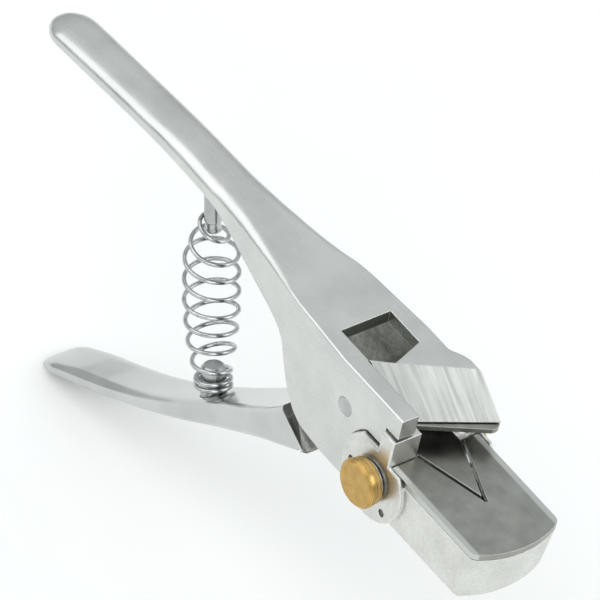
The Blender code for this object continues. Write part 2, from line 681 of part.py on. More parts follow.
def frame_blank():
    """The casting before anything is cut out of it."""
    rings = []
    tip_start = HANDLE_TIP + HANDLE_TIP_ROUND
    for angle in (82, 66, 48, 30, 14):
        x = HANDLE_TIP + HANDLE_TIP_ROUND * (1 - sin(radians(angle)))
        rings.append([(x, y, z) for y, z in frame_ring(x, cos(radians(angle)))])
    grip_end = PIVOT.x - HANDLE_START - HANDLE_LENGTH * 0.36
    handle = [tip_start + (grip_end - tip_start) * i / 9 for i in range(9)]
    cheek_end = PIVOT.x - HANDLE_START + 0.017
    blend = [grip_end + (cheek_end - grip_end) * i / 22 for i in range(23)]
    front = [PIVOT.x + offset for offset in (-0.005, 0.005, 0.0065, 0.0078, 0.0088, 0.0100, 0.0112, 0.0125)]
    last = [PIVOT.x + BEVEL_FOOT[1] + 0.001]
    for x in handle + blend + front + last:
        rings.append([(x, y, z) for y, z in frame_ring(x)])
    return loft("frame", rings, POLISHED_ALUMINIUM)


def channel_cutter():
    """The slot between the cheeks, whose front end slopes with the knife and leaves the head above it."""
    slope_reach = FACE_REACH + KNIFE_HEAD_CLEARANCE

    def slope(z):
        foot = PIVOT + KNIFE_FACE * slope_reach
        return foot.x - (z - foot.z) * cos(KNIFE_LEAN) / sin(KNIFE_LEAN)

    rear = PIVOT.x - CHANNEL_REAR
    outline = [
        (rear - 0.012, -FAR),
        (rear - 0.012, 0.002),
        (rear, WEB_FLOOR - 0.002),
        (rear + 0.002, WEB_FLOOR),
        (slope(WEB_FLOOR), WEB_FLOOR),
        (slope(HEAD_FLOOR), HEAD_FLOOR),
        (FAR, HEAD_FLOOR),
        (FAR, -FAR),
    ]
    return slab("channel", outline, -CHANNEL_SIDE, CHANNEL_SIDE)


def bevel_cutter():
    """Everything ahead of the head's sloping front, which twists a little from side to side."""
    near, far = -CHANNEL_SIDE, HEAD_SIDE
    low, high = HEAD_FLOOR - BEVEL_PAST, TOP_HEIGHT + 0.004
    steps = 6
    rings = []
    for i in range(steps + 2):
        share = i / steps
        y = near + (far - near) * share
        top_x = PIVOT.x + BEVEL_TOP[0] + (BEVEL_TOP[1] - BEVEL_TOP[0]) * share
        foot_x = PIVOT.x + BEVEL_FOOT[0] + (BEVEL_FOOT[1] - BEVEL_FOOT[0]) * share
        lean = (top_x - foot_x) / (TOP_HEIGHT - HEAD_FLOOR)
        rings.append(
            [
                (foot_x - lean * BEVEL_PAST, y, low),
                (foot_x + lean * (high - HEAD_FLOOR), y, high),
                (FAR, y, high),
                (FAR, y, low),
            ]
        )
    return loft("bevel_front", rings)


def window_cutter():
    side = CHANNEL_SIDE - GAP
    outline = [
        (PIVOT.x - WINDOW_REAR, -side),
        (PIVOT.x + WINDOW_CORNERS[0], -side),
        (PIVOT.x + WINDOW_APEX[0], WINDOW_APEX[1]),
        (PIVOT.x + WINDOW_CORNERS[1], side),
        (PIVOT.x - WINDOW_REAR, side),
    ]
    return slab("window", outline, WEB_FLOOR - 0.008, TOP_HEIGHT + 0.002, side_view=False)


def build_frame():
    frame = frame_blank()
    near_front = PIVOT.x + CHEEK_FRONT
    near_end = slab(
        "near_cheek_front",
        [(near_front, -FAR), (FAR, -FAR), (FAR, FAR), (near_front, FAR)],
        -FAR,
        -CHANNEL_SIDE + HEAD_SLOT / 2,
    )
    slot = slab(
        "head_slot",
        [
            (PIVOT.x + BEVEL_TOP[0] - 0.0005, HEAD_FLOOR - 0.001),
            (FAR, HEAD_FLOOR - 0.001),
            (FAR, TOP_HEIGHT + 0.002),
            (PIVOT.x + BEVEL_TOP[0] - 0.0005, TOP_HEIGHT + 0.002),
        ],
        -CHANNEL_SIDE,
        -CHANNEL_SIDE + HEAD_SLOT,
    )
    cut(frame, channel_cutter(), bevel_cutter(), near_end, slot, window_cutter())
    cut(
        frame,
        slab("near_seat", seat_outline(True), -FAR, -CHANNEL_SIDE + 0.0001),
        slab("far_seat", seat_outline(False), CHANNEL_SIDE - 0.0001, FAR),
    )
    join(frame, *both_sides("lug", lug_outline(0), CHANNEL_SIDE + GAP / 2, CHANNEL_SIDE + LUG_THICKNESS))
    reach = Vector((0, CHEEK_SIDE + 0.001, 0))
    cut(frame, rod("pivot_hole", PIVOT - reach, PIVOT + reach, PIVOT_PIN_DIAMETER / 2 + PIN_FIT))
    for side in (-1, 1):
        cut(frame, thumb_hole(f"lug_thumb_hole_{side}", side))
        cut(frame, *[roll_pin_hole(f"lug_pin_hole_{side}_{i}", side, i) for i in range(len(ROLL_PINS))])
    for i, (forward, across) in enumerate(PRESSER_SCREWS):
        place = Vector((PIVOT.x + forward, across, HEAD_FLOOR))
        low, high = place - Vector((0, 0, 0.001)), place + Vector((0, 0, PRESSER_SCREW_REACH + GAP))
        cut(frame, rod(f"head_hole_{i + 1}", low, high, PLATE_SCREW_DIAMETER / 2 + GAP, steps=SMALL_STEPS))
    cut(frame, post_hole("handle_post_hole", spring_head(), spring_axis(), HEAD_POST_DIAMETER))


# Presser plate.
def countersink(name, face, inward, radius, sink, length):
    """The cutter for a countersunk screw: a flared mouth at the face, then a straight hole."""
    depths = ((-0.001, radius + sink + 0.001), (sink, radius), (length, radius))
    rings = []
    for depth, across in depths:
        place = placed(face, face + inward) @ Matrix.Translation((0, 0, depth))
        corners = arc((0, 0), across, 0, 360, SMALL_STEPS)[:-1]
        rings.append([tuple(place @ Vector((x, y, 0))) for x, y in corners])
    return loft(name, rings)


def build_presser():
    near, far = -CHANNEL_SIDE + 2 * HEAD_SLOT, HEAD_SIDE + PRESSER_PROUD / 2
    rear = PIVOT.x + EDGE_REACH + GAP
    across = HEAD_SIDE + CHANNEL_SIDE

    def front(y):
        share = (y + CHANNEL_SIDE) / across
        return PIVOT.x + BEVEL_FOOT[0] + (BEVEL_FOOT[1] - BEVEL_FOOT[0]) * share + PRESSER_PROUD

    round_centre = (front(far) - PRESSER_CORNER, far - PRESSER_CORNER)
    outline = [(rear, near), (front(near), near)]
    outline += arc(round_centre, PRESSER_CORNER, -25, 90, 6)
    outline += [(rear, far)]
    top = HEAD_FLOOR - PRESSER_GAP
    floor = top - PRESSER_THICKNESS
    plate = slab("presser_plate", outline, floor, top, side_view=False, material=PRESSER_STEEL)
    for i, (forward, sideways) in enumerate(PRESSER_SCREWS):
        place = Vector((PIVOT.x + forward, sideways, 0))
        radius = PLATE_SCREW_DIAMETER / 2
        sink = PRESSER_THICKNESS * 0.6
        head = radius + sink
        face = place + Vector((0, 0, floor))
        hole_radius = radius + GAP
        up = Vector((0, 0, 1))
        length = PRESSER_THICKNESS + 0.001
        cut(plate, countersink(f"presser_hole_{i + 1}", face, up, hole_radius, sink, length))
        reach = PRESSER_THICKNESS + PRESSER_GAP + PRESSER_SCREW_REACH
        profile = [(0, reach), (radius, reach), (radius, sink), (head, 0.00015), (head, 0), (0, 0)]
        start = place + Vector((0, 0, floor))
        end = start + Vector((0, 0, reach))
        turned(f"presser_screw_{i + 1}", profile, start, end, PIN_STEEL, SMALL_STEPS)


# Pivot pin, bush and thrust washers.
def build_pivot():
    reach = Vector((0, CHEEK_SIDE, 0))
    rod("pivot_pin", PIVOT - reach, PIVOT + reach, PIVOT_PIN_DIAMETER / 2, PIN_STEEL)
    bush = Vector((0, TONGUE_SIDE, 0))
    inner = PIVOT_PIN_DIAMETER / 2 + PIN_FIT
    ring_bar("pivot_bush", PIVOT - bush, PIVOT + bush, BUSH_RADIUS, inner, BEARING_BRONZE, ROUND_STEPS)
    for word, side in (("near", -1), ("far", 1)):
        middle = (TONGUE_SIDE + CHANNEL_SIDE) / 2
        low = PIVOT + Vector((0, side * (middle - THRUST_WASHER_THICKNESS / 2), 0))
        high = PIVOT + Vector((0, side * (middle + THRUST_WASHER_THICKNESS / 2), 0))
        outer = THRUST_WASHER_DIAMETER / 2
        ring_bar(f"thrust_washer_{word}", low, high, outer, inner, BEARING_BRONZE, ROUND_STEPS)


# Lever.
def lever_keys():
    """The grip from the shoulder to the tip: share of its length, x, z, slope, thickness and width."""
    start_x, start_z = PIVOT.x + GRIP_START[0], PIVOT.z + GRIP_START[1]
    grip = GRIP_WIDTH
    stations = (
        (0.00, 0.0000, 62, 0.0161, SHOULDER_WIDTH),
        (0.073, -0.0064, 52, 0.0125, SHOULDER_WIDTH * 0.96),
        (0.153, -0.0134, 45, 0.0105, SHOULDER_WIDTH * 0.86),
        (0.239, -0.0212, 41, 0.0093, grip * 1.12),
        (0.346, -0.0304, 39, 0.0082, grip * 1.02),
        (0.489, -0.0423, 36, 0.0066, grip),
        (0.632, -0.0527, 31, 0.0054, grip),
        (0.775, -0.0617, 27, 0.0048, grip * 1.02),
        (0.898, -0.0686, 28, 0.0044, grip * 1.02),
        (1.00, -0.0748, 31, 0.0036, grip * 0.96),
    )
    return [
        (share, start_x - GRIP_LENGTH * share, start_z + drop, slope, thick, wide)
        for share, drop, slope, thick, wide in stations
    ]


def lever_ring(share, shrink=1.0, extra=0.0):
    """A section square to the grip's line: (x, y, z) points."""
    x, z, slope, thick, wide = smooth(lever_keys(), share)
    along = Vector((cos(radians(slope)), 0, sin(radians(slope))))
    normal = Vector((-along.z, 0, along.x))
    centre = Vector((x, 0, z)) - along * extra
    half, side = thick / 2, wide / 2
    soft = min(share / GRIP_SOFT_FROM, 1)
    round_y, round_z = (
        reach * (firm + (full - firm) * soft)
        for reach, (firm, full) in ((side, GRIP_CORNER_WIDTH), (half, GRIP_CORNER_HEIGHT))
    )
    ring = oval_corner_ring(-side, side, -half, half, round_y, round_z, 4)
    return [tuple(centre + normal * up * shrink + Vector((0, y * shrink, 0))) for y, up in ring]


def grip_top(share):
    """The point on the grip's upper face, and the face's normal."""
    x, z, slope, thick, _ = smooth(lever_keys(), share)
    normal = Vector((-sin(radians(slope)), 0, cos(radians(slope))))
    return Vector((x, 0, z)) + normal * (thick / 2), normal


def tongue_outline():
    """The tongue from the side: a hub round the pivot, a nose under the knife and a leg to the shoulder."""
    face_angle = degrees(atan2(KNIFE_FACE.z, KNIFE_FACE.x))
    edge_along = -(EDGE - PIVOT).dot(KNIFE_UP)
    nose = PIVOT + KNIFE_FACE * SEAT_REACH - KNIFE_UP * (edge_along - 0.0014)
    front_foot = (PIVOT.x + TONGUE_FRONT_FOOT[0], PIVOT.z + TONGUE_FRONT_FOOT[1])
    rear_foot = (PIVOT.x + TONGUE_REAR_FOOT[0], PIVOT.z + TONGUE_REAR_FOOT[1])
    front = tangent_angle(front_foot, SEAT_REACH, 1)
    rear = tangent_angle(rear_foot, SEAT_REACH, -1) % 360
    outline = [(nose.x, nose.z)]
    outline += arc((PIVOT.x, PIVOT.z), SEAT_REACH, face_angle, rear, 14)
    outline += [rear_foot, front_foot]
    outline += arc((PIVOT.x, PIVOT.z), SEAT_REACH, front, front + 3, 1)
    return outline


def build_lever():
    shares = [i / 24 for i in range(25)]
    rings = [lever_ring(share) for share in shares]
    for angle in (30, 55, 75):
        rings.append(lever_ring(1.0, cos(radians(angle)), 0.0055 * sin(radians(angle))))
    lever = loft("lever", rings, POLISHED_ALUMINIUM)
    join(lever, slab("tongue", tongue_outline(), -TONGUE_SIDE, TONGUE_SIDE))
    reach = Vector((0, CHANNEL_SIDE, 0))
    cut(lever, rod("bush_hole", PIVOT - reach, PIVOT + reach, BUSH_RADIUS + PIN_FIT))
    for side in (-1, 1):
        start, end = knife_screw_line(side)
        deep = start - KNIFE_FACE * (KNIFE_SCREW_LENGTH + GAP)
        cut(lever, rod(f"tongue_hole_{side}", end, deep, KNIFE_SCREW_DIAMETER / 2 + GAP, steps=SMALL_STEPS))
    cut(lever, post_hole("grip_post_hole", spring_foot(), -spring_axis(), FOOT_POST_DIAMETER))


def knife_screw_line(side):
    """A knife screw's line: from the knife's face, and a point well ahead of it."""
    place = EDGE + KNIFE_UP * (KNIFE_LENGTH * 0.6) + Vector((0, side * KNIFE_SCREW_SPACING / 2, 0))
    return place, place + KNIFE_FACE * 0.002


def build_knife():
    back = EDGE - KNIFE_FACE * KNIFE_THICKNESS
    head = EDGE + KNIFE_UP * KNIFE_LENGTH
    lift = (EDGE.z + 0.0003 - back.z) / KNIFE_UP.z
    heel = back + KNIFE_UP * lift
    crown = head - KNIFE_FACE * KNIFE_THICKNESS
    outline = [(p.x, p.z) for p in (EDGE, head, crown, heel)]
    knife = slab("knife", outline, -TONGUE_SIDE, TONGUE_SIDE, material=KNIFE_STEEL)
    radius = KNIFE_SCREW_DIAMETER / 2
    sink = KNIFE_THICKNESS * 0.5
    for side in (-1, 1):
        place, front = knife_screw_line(side)
        length = KNIFE_THICKNESS + 0.001
        cut(knife, countersink(f"knife_hole_{side}", place, -KNIFE_FACE, radius + GAP, sink, length))
        profile = [
            (0, 0),
            (radius + sink, 0),
            (radius + sink, -0.00015),
            (radius, -sink),
            (radius, -KNIFE_SCREW_LENGTH),
            (0, -KNIFE_SCREW_LENGTH),
        ]
        name = f"knife_screw_{'near' if side < 0 else 'far'}"
        turned(name, profile, place, front, PIN_STEEL, SMALL_STEPS)


# Spring and posts.
def spring_foot_share():
    return (SPRING_FOOT + GRIP_START[0]) / GRIP_LENGTH


def spring_foot():
    return grip_top(spring_foot_share())[0]


def spring_head():
    x = PIVOT.x - SPRING_HEAD
    return Vector((x, 0, handle_floor(x)))


def spring_axis():
    return (spring_head() - spring_foot()).normalized()


def post_hole(name, seat, inward, diameter):
    """A socket for a spring post. inward points from the seat's surface into the metal."""
    radius = diameter / 2 + GAP
    return rod(name, seat - inward * 0.004, seat + inward * (POST_ROOT + GAP), radius, steps=SMALL_STEPS)


def build_post(name, seat, outward, diameter, length, neck=False):
    """A round post. The head post has a shallow groove near its tip for the spring's end turn."""
    radius, top = diameter / 2, length
    edge = radius * 0.25
    profile = [(0, top), (radius - edge, top), (radius, top - edge)]
    if neck:
        middle, half = top - NECK[0], NECK[1]
        waist = radius - NECK_DEPTH
        profile += [(radius, middle + half), (waist, middle + half - NECK_DEPTH)]
        profile += [(waist, middle - half + NECK_DEPTH), (radius, middle - half)]
    profile += [(radius, -POST_ROOT), (0, -POST_ROOT)]
    turned(name, profile, seat, seat + outward * length, PIN_STEEL, SMALL_STEPS)


def coil_height(turn):
    """Share of the coil's height at this turn: close at the foot, then open and even."""
    keys = ((0, 0), (1, 0.034), (2, 0.070), (3, 0.193), (4, 0.315), (6, 0.555), (8, 0.796), (9, 0.9), (10, 1))
    return smooth([(place / 10 * COIL_TURNS, share) for place, share in keys], turn)[0]


def coil_radius(share):
    """The coil's centre line swells from the foot to the middle, and narrows quickly at the head."""
    foot, middle, head = ((size - WIRE) / 2 for size in (COIL_FOOT, COIL_MIDDLE, COIL_HEAD))
    keys = [(0, foot), (0.07, foot), (0.19, middle * 0.79), (0.32, middle * 0.91), (0.55, middle)]
    keys += [(0.80, middle), (0.90, middle * 0.72), (0.97, head), (1, head)]
    return smooth(keys, share)[0]


def coil_lean(share):
    """The handles stand apart at an angle, so the turns lean back at the foot and forward at the head."""
    keys = [(0, COIL_LEAN[0]), (0.2, COIL_LEAN[0]), (0.5, 0), (0.8, COIL_LEAN[1] / 2), (1, COIL_LEAN[1])]
    return smooth(keys, share)[0]


def build_spring():
    foot, head, axis = spring_foot(), spring_head(), spring_axis()
    side = Vector((0, -1, 0))
    other = side.cross(axis)
    lean = axis.angle(grip_top(spring_foot_share())[1])
    low = tan(lean + COIL_LEAN[0]) * COIL_FOOT / 2 + WIRE / 2 + GAP
    high = (head - foot).length - HEAD_POST_LENGTH + NECK[0]
    points = []
    for i in range(COIL_TURNS * COIL_STEPS + 1):
        turn = i / COIL_STEPS
        share = coil_height(turn)
        height = low + (high - low) * share
        radius = coil_radius(share)
        angle = COIL_START + tau * turn
        leaning = other * cos(coil_lean(share)) + axis * sin(coil_lean(share))
        centre = foot + axis * height + other * COIL_BOW * 4 * share * (1 - share)
        points.append(centre + side * radius * cos(angle) + leaning * radius * sin(angle))
    curve = bpy.data.curves.new("spring", "CURVE")
    curve.dimensions = "3D"
    curve.bevel_depth = WIRE / 2
    curve.bevel_resolution = 2
    curve.use_fill_caps = True
    spline = curve.splines.new("POLY")
    spline.points.add(len(points) - 1)
    for point, place in zip(spline.points, points):
        point.co = (*place, 1)
    add_object("spring", curve, SPRING_STEEL)


def main():
    build_lower_jaw()
    build_anvil_plate()
    for word, side in (("near", -1), ("far", 1)):
        build_thumb_screw(word, side)
        build_roll_pins(word, side)
    build_frame()
    build_presser()
    build_pivot()
    build_lever()
    build_knife()
    build_post("foot_post", spring_foot(), spring_axis(), FOOT_POST_DIAMETER, FOOT_POST_LENGTH)
    build_post("head_post", spring_head(), -spring_axis(), HEAD_POST_DIAMETER, HEAD_POST_LENGTH, neck=True)
    build_spring()


main()
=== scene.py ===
# %% [markdown]
# # A single-lever hoof nipper, finished in Blender
#
# The tool is a polished aluminium casting with a second handle on a pin. Pressing the handles together
# swings a short knife down past the rear edge of a hard steel plate. The plate sits on a box-shaped lower
# jaw, and two brass thumb screws hold that jaw to the casting.
#
# The solid shapes come from a CAD model. This lesson gives them their surfaces: it cleans the meshes, turns
# and winds a few pieces again in finer steps, makes one material for each real finish, paints shade into a few
# hollows and onto the anvil plate, and lights the tool.

# %% Load the CAD model
from math import cos, pi, radians, sin, tau

import bmesh
import bpy
from mathutils import Matrix, Vector


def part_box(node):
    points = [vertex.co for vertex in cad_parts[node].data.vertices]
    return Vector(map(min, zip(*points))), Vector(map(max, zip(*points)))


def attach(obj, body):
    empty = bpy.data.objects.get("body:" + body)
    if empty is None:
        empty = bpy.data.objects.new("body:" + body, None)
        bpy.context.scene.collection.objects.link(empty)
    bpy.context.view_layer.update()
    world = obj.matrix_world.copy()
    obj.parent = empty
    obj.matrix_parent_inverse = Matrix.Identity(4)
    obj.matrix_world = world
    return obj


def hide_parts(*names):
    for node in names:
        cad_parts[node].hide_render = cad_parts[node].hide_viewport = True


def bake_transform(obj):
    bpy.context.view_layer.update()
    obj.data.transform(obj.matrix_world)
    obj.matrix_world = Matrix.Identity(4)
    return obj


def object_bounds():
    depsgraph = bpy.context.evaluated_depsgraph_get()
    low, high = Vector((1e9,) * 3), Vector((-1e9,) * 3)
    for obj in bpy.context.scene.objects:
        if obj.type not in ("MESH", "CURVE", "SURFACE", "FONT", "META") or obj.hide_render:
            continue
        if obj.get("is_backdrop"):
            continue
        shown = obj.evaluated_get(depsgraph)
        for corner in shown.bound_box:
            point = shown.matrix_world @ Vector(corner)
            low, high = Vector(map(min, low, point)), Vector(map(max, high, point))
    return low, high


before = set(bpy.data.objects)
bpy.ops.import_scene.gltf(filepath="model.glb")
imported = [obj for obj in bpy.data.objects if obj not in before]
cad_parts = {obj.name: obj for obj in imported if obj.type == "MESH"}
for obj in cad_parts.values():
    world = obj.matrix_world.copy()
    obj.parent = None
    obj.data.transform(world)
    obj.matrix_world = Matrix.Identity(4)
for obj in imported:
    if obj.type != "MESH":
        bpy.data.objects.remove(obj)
cad_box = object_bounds()
size = cad_box[1] - cad_box[0]
print(f"{len(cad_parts)} solids, {size.x * 1000:.0f} x {size.y * 1000:.0f} x {size.z * 1000:.0f} mm")

# %% [markdown]
# ## Colours and nodes
#
# Colour pickers and colour cards give sRGB values, but shaders count in linear light. One function turns a
# hex value into the linear colour that a socket takes, so every colour below can be read as a plain hex
# value.
#
# A material is a small network. Blender can build it by hand in the Shader editor. In a script, one function
# is enough: it adds a node, sets its values and joins its inputs.

# %% Two helpers for materials
def colour(hex_value):
    """An sRGB hex value such as "#C9A66B" as the linear colour that a shader takes."""
    parts = [int(hex_value[i : i + 2], 16) / 255 for i in (1, 3, 5)]
    return (*[p / 12.92 if p <= 0.04045 else ((p + 0.055) / 1.055) ** 2.4 for p in parts], 1)


def add(tree, kind, settings={}, links={}):
    """Adds a node. A setting is one of its properties, or an input's value by name or by number."""
    node = tree.nodes.new("ShaderNode" + kind)
    for name, value in settings.items():
        if isinstance(name, str) and name not in node.inputs:
            setattr(node, name, value)
    for name, value in settings.items():
        if isinstance(name, int) or name in node.inputs:
            node.inputs[name].default_value = value
    for name, source in links.items():
        tree.links.new(source, node.inputs[name])
    return node


def new_finish(name):
    """An empty material, its node tree, and the piece's own coordinates in metres."""
    material = bpy.data.materials.new(name)
    material.use_nodes = True
    material.node_tree.nodes.clear()
    place = add(material.node_tree, "TexCoord").outputs["Object"]
    return material, material.node_tree, place


print("brass reads as", [round(c, 3) for c in colour("#C9A66B")])

# %% [markdown]
# ## Sizes that patterns are made from
#
# A noise texture's scale is the number of its cells in a metre, because the coordinates are in metres. So a
# pattern's scale is one over the size of its marks. Naming that sum keeps the sizes in millimetres.
#
# Machined edges are never perfectly sharp: a file or a polishing wheel has rounded them by a few tenths of a
# millimetre. The Bevel node rounds the light on an edge by that much, and comparing it with the true
# direction of the surface finds the edges, where metal is rubbed brightest.

# %% Pattern scale, and softened edges
def per_mm(mm):
    """The texture scale whose marks are this many millimetres across."""
    return 1000 / mm


def soft_edges(tree, radius_mm):
    """The rounded surface direction, and how near an edge is, from 0 to 1."""
    rounded = add(tree, "Bevel", {"Radius": radius_mm / 1000, "samples": 6}).outputs["Normal"]
    true = add(tree, "NewGeometry").outputs["Normal"]
    alike = add(tree, "VectorMath", {"operation": "DOT_PRODUCT"}, {0: rounded, 1: true}).outputs["Value"]
    near = add(tree, "MapRange", {"From Min": 1.0, "From Max": 0.93, "To Min": 0.0, "To Max": 1.0},
               {"Value": alike})
    return rounded, near.outputs["Result"]


print("0.6 mm marks need a scale of", round(per_mm(0.6)))

# %% [markdown]
# ## Polished cast aluminium
#
# The body and the lower handle are aluminium castings, ground and then buffed on a cloth wheel. The wheel
# leaves a bright skin with long fine lines, and the hand that holds the casting to it leaves the surface a
# little wavy. Buffing lines are about 0.1 mm apart, too fine to see here, so they are drawn 0.5 mm apart.
#
# To the eye this is a soft mirror: broad reflections that bend along the handle, streaked lengthwise, and a
# paler rubbed line on each edge. The sloping front of the head is left from the grinding belt, so its lines
# are coarser and run down the slope.

# %% Polished aluminium
def buffed(name, dark, light, rough_low, rough_high, stretch=(0.03, 1, 1), line_mm=0.5, lined=0.25):
    """Buffed aluminium. stretch is small along the lines' axes, and lined is how clearly the lines show."""
    material, tree, place = new_finish(name)
    stretched = add(tree, "Mapping", {"Scale": stretch}, {"Vector": place}).outputs["Vector"]
    lines = add(tree, "TexNoise", {"Scale": per_mm(line_mm), "Detail": 3.0},
                {"Vector": stretched}).outputs["Fac"]
    clouds = add(tree, "TexNoise", {"Scale": per_mm(14), "Detail": 4.0}, {"Vector": place}).outputs["Fac"]
    waves = add(tree, "TexNoise", {"Scale": per_mm(18), "Detail": 1.0}, {"Vector": place}).outputs["Fac"]
    mixed = add(tree, "Mix", {0: lined}, {2: clouds, 3: lines}).outputs[0]
    rounded, edge = soft_edges(tree, 0.45)
    tone = add(tree, "MapRange", {"From Min": 0.36, "From Max": 0.64}, {"Value": mixed}).outputs["Result"]
    base = add(tree, "Mix", {"data_type": "RGBA", 6: colour(dark), 7: colour(light)}, {0: tone}).outputs[2]
    rubbed = add(tree, "Mix", {"data_type": "RGBA", 7: colour("#DCDEDC")}, {0: edge, 6: base}).outputs[2]
    rough = add(tree, "MapRange", {"To Min": rough_low, "To Max": rough_high},
                {"Value": tone}).outputs["Result"]
    wavy = add(tree, "Bump", {"Strength": 0.25, "Distance": 0.0009}, {"Height": waves, "Normal": rounded})
    grooved = add(tree, "Bump", {"Strength": lined * 0.3, "Distance": 0.00012},
                  {"Height": lines, "Normal": wavy.outputs[0]})
    shader = add(tree, "BsdfPrincipled", {"Metallic": 1.0},
                 {"Base Color": rubbed, "Roughness": rough, "Normal": grooved.outputs[0]})
    add(tree, "OutputMaterial", {}, {"Surface": shader.outputs[0]})
    return material


polished_aluminium = buffed("polished_cast_aluminium", "#C8CAC8", "#D6D7D4", 0.22, 0.34)
bright_aluminium = buffed("mirror_buffed_aluminium", "#C0C3C2", "#CED0CE", 0.12, 0.22)
belted_aluminium = buffed("belt_finished_aluminium", "#C2C3BE", "#DEDFDA", 0.24, 0.40,
                          stretch=(0.03, 1, 0.03), line_mm=0.9, lined=0.7)
for material in (polished_aluminium, bright_aluminium, belted_aluminium):
    print("made", material.name)

# %% [markdown]
# ## Satin cast aluminium
#
# The lower jaw is cast in the same metal but only tumbled with small stones, not buffed. That gives a duller,
# greyer skin with faint mottling and tiny specks where the stones have struck. Its marks are about a
# millimetre across and lie in no direction, so plain noise at two sizes is enough. The same network, darker
# and rougher, is the skin that the mould leaves where no wheel or stone can reach, as inside the channel. It
# is made dark enough to serve as painted shade there too, and it is also painted shade in the anvil plate's
# slits.

# %% Satin aluminium
def tumbled(name, dark, light, rough_low, rough_high):
    material, tree, place = new_finish(name)
    specks = add(tree, "TexNoise", {"Scale": per_mm(0.9), "Detail": 3.0}, {"Vector": place}).outputs["Fac"]
    clouds = add(tree, "TexNoise", {"Scale": per_mm(9), "Detail": 3.0}, {"Vector": place}).outputs["Fac"]
    mixed = add(tree, "Mix", {0: 0.5}, {2: specks, 3: clouds}).outputs[0]
    tone = add(tree, "MapRange", {"From Min": 0.36, "From Max": 0.64}, {"Value": mixed}).outputs["Result"]
    rounded, edge = soft_edges(tree, 0.5)
    base = add(tree, "Mix", {"data_type": "RGBA", 6: colour(dark), 7: colour(light)}, {0: tone}).outputs[2]
    rubbed = add(tree, "Mix", {"data_type": "RGBA", 7: colour("#ECEDEA")}, {0: edge, 6: base}).outputs[2]
    rough = add(tree, "MapRange", {"To Min": rough_high, "To Max": rough_low},
                {"Value": tone}).outputs["Result"]
    struck = add(tree, "Bump", {"Strength": 0.22, "Distance": 0.0002}, {"Height": mixed, "Normal": rounded})
    shader = add(tree, "BsdfPrincipled", {"Metallic": 1.0},
                 {"Base Color": rubbed, "Roughness": rough, "Normal": struck.outputs[0]})
    add(tree, "OutputMaterial", {}, {"Surface": shader.outputs[0]})
    return material


satin_aluminium = tumbled("satin_cast_aluminium", "#CCCDC9", "#DDDED9", 0.30, 0.42)
# The dark skin, which also serves as painted shade inside the channel, the jaw's hollow and the anvil plate's
# slits.
cast_skin_and_shade = tumbled("as_cast_skin_and_painted_shade", "#85867F", "#A3A49D", 0.46, 0.62)
print("made", satin_aluminium.name, "and", cast_skin_and_shade.name)

# %% [markdown]
# ## Ground steel
#
# The anvil plate, the presser plate and the knife are hardened tool steel, finished on a surface grinder.
# Its wheel passes across the work and leaves straight parallel scratches. On the anvil plate the steel is
# darkened towards the throat as painted shade, and it is paler in a narrow band along each side.
#
# The painted shade and the pale band are drawn from the piece's own coordinates: how far back a point lies,
# and how near it is to the side.

# %% Ground steel
def ground(name, dark, light, line_mm, rough_low, rough_high):
    """Ground steel, with scratches that run along the tool. Returns what painted shade or a pale band can be
    added to.
    """
    material, tree, place = new_finish(name)
    stretched = add(tree, "Mapping", {"Scale": (0.04, 1, 1)}, {"Vector": place}).outputs["Vector"]
    lines = add(tree, "TexNoise", {"Scale": per_mm(line_mm), "Detail": 4.0},
                {"Vector": stretched}).outputs["Fac"]
    clouds = add(tree, "TexNoise", {"Scale": per_mm(7), "Detail": 5.0}, {"Vector": place}).outputs["Fac"]
    mixed = add(tree, "Mix", {0: 0.22}, {2: clouds, 3: lines}).outputs[0]
    tone = add(tree, "MapRange", {"From Min": 0.30, "From Max": 0.70}, {"Value": mixed}).outputs["Result"]
    rounded, edge = soft_edges(tree, 0.25)
    base = add(tree, "Mix", {"data_type": "RGBA", 6: colour(dark), 7: colour(light)}, {0: tone}).outputs[2]
    rubbed = add(tree, "Mix", {"data_type": "RGBA", 7: colour("#D9DAD6")}, {0: edge, 6: base}).outputs[2]
    rough = add(tree, "MapRange", {"To Min": rough_low, "To Max": rough_high},
                {"Value": tone}).outputs["Result"]
    cut = add(tree, "Bump", {"Strength": 0.16, "Distance": 0.00012}, {"Height": lines, "Normal": rounded})
    shader = add(tree, "BsdfPrincipled", {"Metallic": 1.0},
                 {"Base Color": rubbed, "Roughness": rough, "Normal": cut.outputs[0]})
    add(tree, "OutputMaterial", {}, {"Surface": shader.outputs[0]})
    return material


presser_steel = ground("ground_presser_steel", "#84857F", "#A7A8A2", 0.6, 0.24, 0.36)
knife_steel = ground("ground_knife_steel", "#A4A6A6", "#CBCDCC", 0.4, 0.16, 0.26)
pin_steel = ground("ground_pin_steel", "#A6A8A7", "#C3C5C4", 0.4, 0.20, 0.30)
anvil_steel = ground("ground_anvil_steel", "#8C8D87", "#A9AAA4", 0.5, 0.26, 0.38)
print("made", presser_steel.name, knife_steel.name, pin_steel.name, anvil_steel.name)

# %% The anvil plate's painted shade and pale side band
plate_low, plate_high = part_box("anvil_plate")
tree = anvil_steel.node_tree
shader = tree.nodes["Principled BSDF"]
steel = shader.inputs["Base Color"].links[0].from_socket
place = tree.nodes["Texture Coordinate"].outputs["Object"]
axes = add(tree, "SeparateXYZ", {}, {0: place})
